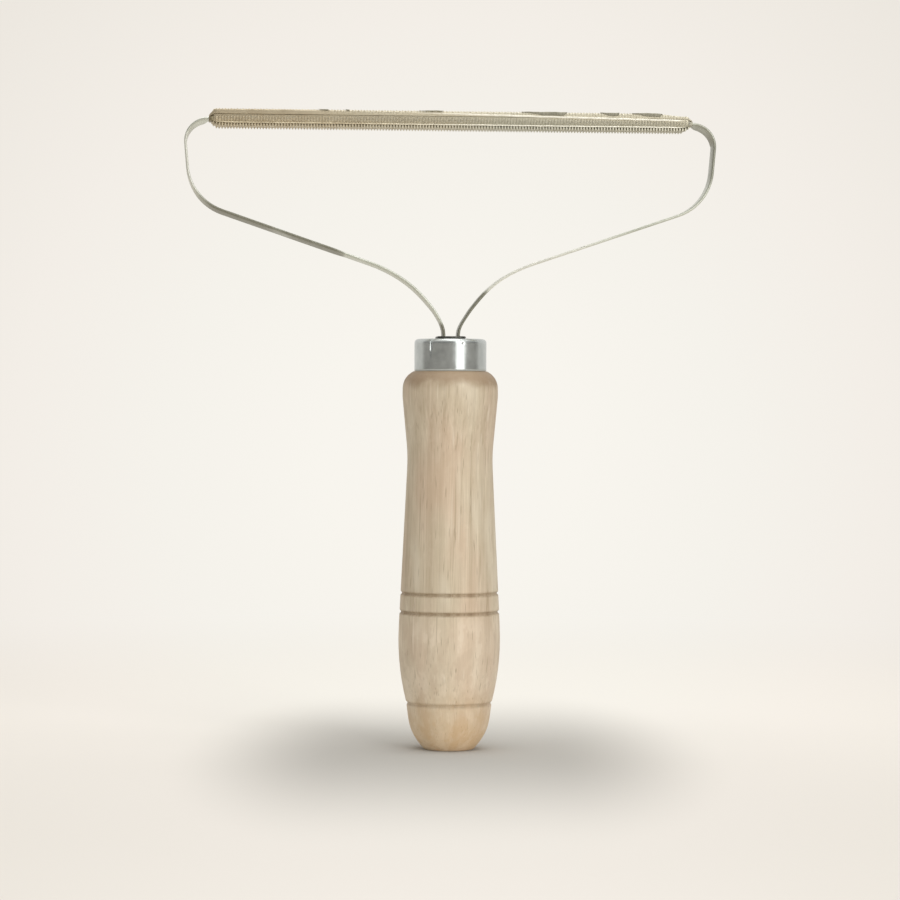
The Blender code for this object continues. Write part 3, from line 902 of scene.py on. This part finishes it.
lower_fold = (lower_box[0], lower_box[1] + nesting)
places = rib_places(lower_fold[1].x, tooth_wire)
teeth = toothed_rib(lower_fold, tooth_wire)
repeated(teeth, places)
pressed(teeth)
add_piece("lower_cross_wires", teeth, rib_brass, "brass_wire", "lower_scraper_mesh")
weft_reach = lower_box[1].y - weft_margin
rows = int(2 * weft_reach / weft_gap)
lower_middle = (lower_fold[0].z + lower_fold[1].z) / 2
lower_spots = [(((2 * i / rows - 1) * weft_reach, lower_middle), (0, 1)) for i in range(rows + 1)]
weft = woven(places, thin_wire, tooth_wire + thin_wire, lower_spots)
pressed(weft)
add_piece("lower_long_wires", weft, weft_brass, "brass_wire")
lower_plies = plies(lower_fold, tooth_reach, lower_gap - layer_gap / 2, lower_box[0].z + ply_foot,
                    gap_rounding, gap_rounding)
pressed(lower_plies)
add_piece("lower_inner_plies", lower_plies, shaded_ply_brass, "brass_wire")

# Fold lips: the thin rolled lips of the upper and the middle fold, which run along the head's front. They
# are the same cloth, pressed nearly flat, and painted pale as a highlight, most to the right.
lip_depth = 0.00050
lip_steps = 48
lip_rounding_share = 0.4
lip_end_share = 0.15
lip_sink_share = 0.5
lip_flattening = 0.1
lip_waves = ((0.00003, 900), (0.00002, 2300))
lip_highlight_span = (-0.035, 0.020)
lip_relief = 0.00003
lip_brass = Finish("highlit_lip", 0.40, 0.5)
wear = lip_brass.noise(lip_brass.place, 500, 3.0, 0.6)
left_tone = lip_brass.ramp(wear, [(0.35, screen(190, 176, 148)), (0.65, screen(214, 202, 174))])
highlit_tone = lip_brass.ramp(wear, [(0.35, screen(226, 222, 206)), (0.65, screen(240, 236, 222))])
# Painted highlight: the lips are painted paler towards the right.
lip_brass.set("Base Color", lip_brass.mix(lip_brass.between(lip_brass.axis("X"), *lip_highlight_span),
                                          left_tone, highlit_tone))
lip_brass.emboss([(wear, lip_relief)])


def rolled_lip(name, finish, start, end, levels, tall, tapers, held):
    """A thin rolled lip of cloth along X on the head's front, tapered at both ends. The tapers close on one
    height of the lip, which is held: 0 is its middle and 0.5 its top edge."""
    face = upper_box[0].y
    bm = slab(Vector((start, face, -tall / 2)), Vector((end, face + lip_depth, tall / 2)))
    long_sides = [e for e in bm.edges if e.calc_length() > tall * 2]
    soften(bm, long_sides, lip_depth * lip_rounding_share, 4)
    cut_across(bm, [start + (end - start) * i / lip_steps for i in range(1, lip_steps)])
    for vertex in bm.verts:
        along = (vertex.co.x - start) / (end - start)
        share = smooth(along, 0.0, tapers[0]) * smooth(1 - along, 0.0, tapers[1])
        anchor = held * tall
        vertex.co.z = anchor + (vertex.co.z - anchor) * (lip_end_share + (1 - lip_end_share) * share)
        vertex.co.y += (1 - share) * lip_depth * lip_sink_share - (vertex.co.y - face) * lip_flattening
        vertex.co.z += levels[0] + (levels[1] - levels[0]) * along
        vertex.co.z += sum(height * math.sin(vertex.co.x * waves) for height, waves in lip_waves)
    pressed(bm)
    add_piece(name, bm, finish, "brass_wire")


rolled_lip("upper_fold_lip", lip_brass, start=-0.0200, end=0.0690, levels=(0.18868, 0.18722), tall=0.00062,
           tapers=(0.25, 0.002), held=0)
rolled_lip("middle_fold_lip", lip_brass, start=-0.0700, end=0.0700, levels=(0.18526, 0.18520), tall=0.00042,
           tapers=(0.002, 0.002), held=0)

# Loose edges: short raw edges of the cloth's inner ply that lap over the head's front top edge, flattened
# and worn dull. Each is given by where it starts and ends along X, and by its height.
loose_edges = ((-0.0397, -0.0367, 0.00034), (-0.0318, -0.0306, 0.00030), (-0.0100, -0.0028, 0.00034),
               (0.0205, 0.0341, 0.00105), (0.0440, 0.0497, 0.00095), (0.0535, 0.0626, 0.00105))
loose_tapers = (0.55, 0.08)
top_margin = 0.00006
scratch_depth = 0.00002
raw_edge = Finish("dull_raw_edge", 0.5, 0.6)
scratches = raw_edge.noise(raw_edge.stretched(raw_edge.place, (1, 1, 0.1)), 2400, 3.0, 0.6)
raw_edge.set("Base Color", raw_edge.ramp(scratches, [(0.30, screen(122, 119, 103)),
                                                     (0.70, screen(164, 160, 143))]))
raw_edge.emboss([(scratches, scratch_depth)])
for number, (start, end, tall) in enumerate(loose_edges, 1):
    level = upper_box[1].z - top_margin - tall / 2
    rolled_lip("loose_edge_%d" % number, raw_edge, start, end, (level, level), tall, loose_tapers, held=0.5)

# End clips: two small wedge-shaped crimps of browned steel sheet, squeezed on the strip against the ends of
# the cloth, lower on the outside than on the inside.
clip_rounding = 0.00012
clip_sharp_edge = math.radians(60)
clip_inner_share = 0.85
clip_outer_share = 0.42
browning_depth = 0.00002
for side, dark, pale in (("left", screen(112, 102, 80), screen(158, 148, 122)),
                         ("right", screen(146, 143, 128), screen(188, 185, 170))):
    browned = Finish(side + "_browned_steel", 0.45, 1.0)
    browning = browned.noise(browned.place, 1400, 3.0, 0.6)
    browned.set("Base Color", browned.ramp(browning, [(0.30, dark), (0.70, pale)]))
    browned.emboss([(browning, browning_depth)])
    clip = solid_copy(side + "_end_clip")
    low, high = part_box(side + "_end_clip")
    middle = (low + high) / 2
    for vertex in clip.verts:
        outer = 0.5 + (vertex.co.x - middle.x) / (high.x - low.x) * (1 if middle.x > 0 else -1)
        share = clip_inner_share + (clip_outer_share - clip_inner_share) * outer
        if abs(vertex.co.z - middle.z) > strip_thickness / 2 + clearance:
            vertex.co.z = middle.z + (vertex.co.z - middle.z) * share
    soften(clip, sharp_edges(clip, clip_sharp_edge), clip_rounding, 2)
    add_piece(side + "_crimp", clip, browned, "dark_steel", side + "_end_clip")

# Stage: a wide, pale, matt floor that fades into an even backdrop, with a soft oval shade where the tool
# stands. The shade lies square to the camera, which stands a little to the left of the tool's front.
camera_yaw = math.radians(5)
camera_distance = 0.90
camera_height = 0.105
aim_height = 0.089
camera_place = Vector((-math.sin(camera_yaw) * camera_distance, -math.cos(camera_yaw) * camera_distance,
                       camera_height))
aim = (Vector((0, 0, aim_height)) - camera_place).normalized()
backdrop_stops = [(0.0, screen(248, 245, 239)), (0.20, screen(248, 245, 238)), (0.45, screen(245, 242, 235)),
                  (0.68, screen(243, 238, 231)), (1.0, screen(236, 231, 223))]
backdrop_spread = math.radians(12)
floor_reach = 9.0
floor_sides = 96
floor_match = 0.795
floor_gain = 1.10
floor_front = (0, -0.15, 0)
floor_front_reach = (0.03, 0.28)
floor_fade = (0.20, 0.55)
shade_core = 0.030
shade_width = 0.083
shade_depth = 0.186
shade_centre = -0.016
shade_level = 0.605


def backdrop(nodes, direction):
    """The backdrop's colour in a direction: palest straight behind the tool, a little darker all round."""
    facing = nodes.measure("DOT_PRODUCT", nodes.vector("NORMALIZE", direction), aim)
    aside = nodes.maths("ARCCOSINE", facing)
    return nodes.ramp(nodes.maths("DIVIDE", aside, backdrop_spread, True), backdrop_stops)


disc = bmesh.new()
bmesh.ops.create_circle(disc, cap_ends=True, segments=floor_sides, radius=floor_reach)
floor = placed("floor", mesh_of("floor", disc))
floor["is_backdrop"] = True

pale_floor = Finish("pale_floor", 0.9, 0.0)
far_colour = backdrop(pale_floor, pale_floor.vector("SUBTRACT", pale_floor.place, camera_place))
seen = pale_floor.add("LightPath", "Is Camera Ray", {})
laid = pale_floor.stretched(pale_floor.place, (1, 1, 1), rotation=(0, 0, camera_yaw))
laid_x = pale_floor.add("SeparateXYZ", "X", {0: laid})
laid_y = pale_floor.add("SeparateXYZ", "Y", {0: laid})
aside = pale_floor.maths("SUBTRACT", pale_floor.maths("ABSOLUTE", laid_x), shade_core, True)
aside = pale_floor.maths("DIVIDE", aside, shade_width - shade_core)
away = pale_floor.maths("DIVIDE", pale_floor.maths("SUBTRACT", laid_y, shade_centre), shade_depth)
from_shade = pale_floor.measure("LENGTH", pale_floor.add("CombineXYZ", 0, {0: aside, 1: away}))
shade = pale_floor.blend(seen, 1.0, pale_floor.between(from_shade, 0.0, 1.0, shade_level, 1.0))
near_colour = pale_floor.mix(1.0, far_colour, shade, "MULTIPLY")
from_front = pale_floor.measure("LENGTH", pale_floor.vector("SUBTRACT", pale_floor.place, floor_front))
match = pale_floor.between(from_front, *floor_front_reach, floor_match, floor_match * floor_gain)
near_colour = pale_floor.mix(1.0, near_colour, match, "MULTIPLY")
pale_floor.set("Base Color", near_colour)
pale_floor.set("Specular IOR Level", 0.0)
glow = pale_floor.add("Emission", 0, {"Color": far_colour, "Strength": 1.0})
from_centre = pale_floor.measure("LENGTH", pale_floor.place)
faded = pale_floor.overlap(pale_floor.between(from_centre, *floor_fade), seen)
surface = pale_floor.add("MixShader", 0, {0: faded, 1: pale_floor.shader.outputs[0], 2: glow})
pale_floor.feed(pale_floor.tree.nodes["Material Output"].inputs["Surface"], surface)
floor.data.materials.append(pale_floor.material)

# Room light: pale behind the tool and overhead, plain grey towards the camera, as in a small studio. Shiny
# surfaces see those walls, and for the matt ones the walls are one even grey.
front_grey = 0.29
back_pale = 0.90
back_edge = (0.05, 0.20)
ambient_wall = 0.37
overhead_pale = 0.90
overhead_edge = (0.25, 0.75)
room_tint = (1.0, 0.985, 0.955, 1)
world = bpy.data.worlds.new("studio")
bpy.context.scene.world = world
world.use_nodes = True
room = Nodes(world.node_tree)
direction = room.add("TexCoord", "Generated", {})
sideways = room.vector("NORMALIZE", room.vector("MULTIPLY", direction, (1, 1, 0)))
behind = room.measure("DOT_PRODUCT", sideways, (math.sin(camera_yaw), math.cos(camera_yaw), 0))
upward = room.between(room.add("SeparateXYZ", "Z", {0: direction}), *overhead_edge)
glossy = room.add("LightPath", "Is Glossy Ray", {})
level = room.blend(glossy, ambient_wall, room.between(behind, *back_edge, front_grey, back_pale))
level = room.blend(upward, level, overhead_pale)
room_light = room.add("Background", 0, {"Color": room_tint, "Strength": level})
room_view = room.add("Background", 0, {"Color": backdrop(room, direction), "Strength": 1.0})
camera_ray = room.add("LightPath", "Is Camera Ray", {})
room_out = room.add("MixShader", 0, {0: camera_ray, 1: room_light, 2: room_view})
room.feed(world.node_tree.nodes["World Output"].inputs["Surface"], room_out)

# Lamps: a tall softbox to the right of the camera, and a broad one overhead. Both are area lamps that the
# camera doesn't see.
key_azimuth = math.radians(27.5)
key_distance = 1.7
key_height = 0.75
key_target = (0, 0, 0.45)
key_size = (0.90, 1.5)
key_power = 10.9
top_place = (0.1, -0.1, 1.5)
top_target = (0, 0, 0)
top_size = (1.1, 1.1)
top_power = 9.0


def add_softbox(name, place, target, size, power):
    """An area lamp of a width and a height, turned towards a point."""
    lamp = bpy.data.lights.new(name, "AREA")
    lamp.shape = "RECTANGLE"
    lamp.size, lamp.size_y = size
    lamp.energy = power
    holder = placed(name, lamp)
    holder.location = place
    holder.rotation_euler = (Vector(target) - Vector(place)).to_track_quat("-Z", "Y").to_euler()
    holder.visible_camera = False


key_place = (math.sin(key_azimuth) * key_distance, -math.cos(key_azimuth) * key_distance, key_height)
add_softbox("key_softbox", key_place, key_target, key_size, key_power)
add_softbox("top_softbox", top_place, top_target, top_size, top_power)

# Camera: a long lens, nearly level with the tool's middle and rolled a quarter of a degree. Colours are
# shown plainly, with no film curve.
camera_lens = 121
sensor_width = 36
camera_roll = math.radians(0.25)
camera_data = bpy.data.cameras.new("camera")
camera_data.lens = camera_lens
camera_data.sensor_width = sensor_width
camera = placed("camera", camera_data)
camera.location = camera_place
camera.rotation_euler = (aim.to_track_quat("-Z", "Y").to_matrix()
                         @ Matrix.Rotation(camera_roll, 3, "Z")).to_euler()
bpy.context.scene.camera = camera
bpy.context.scene.view_settings.view_transform = "Standard"

low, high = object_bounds()
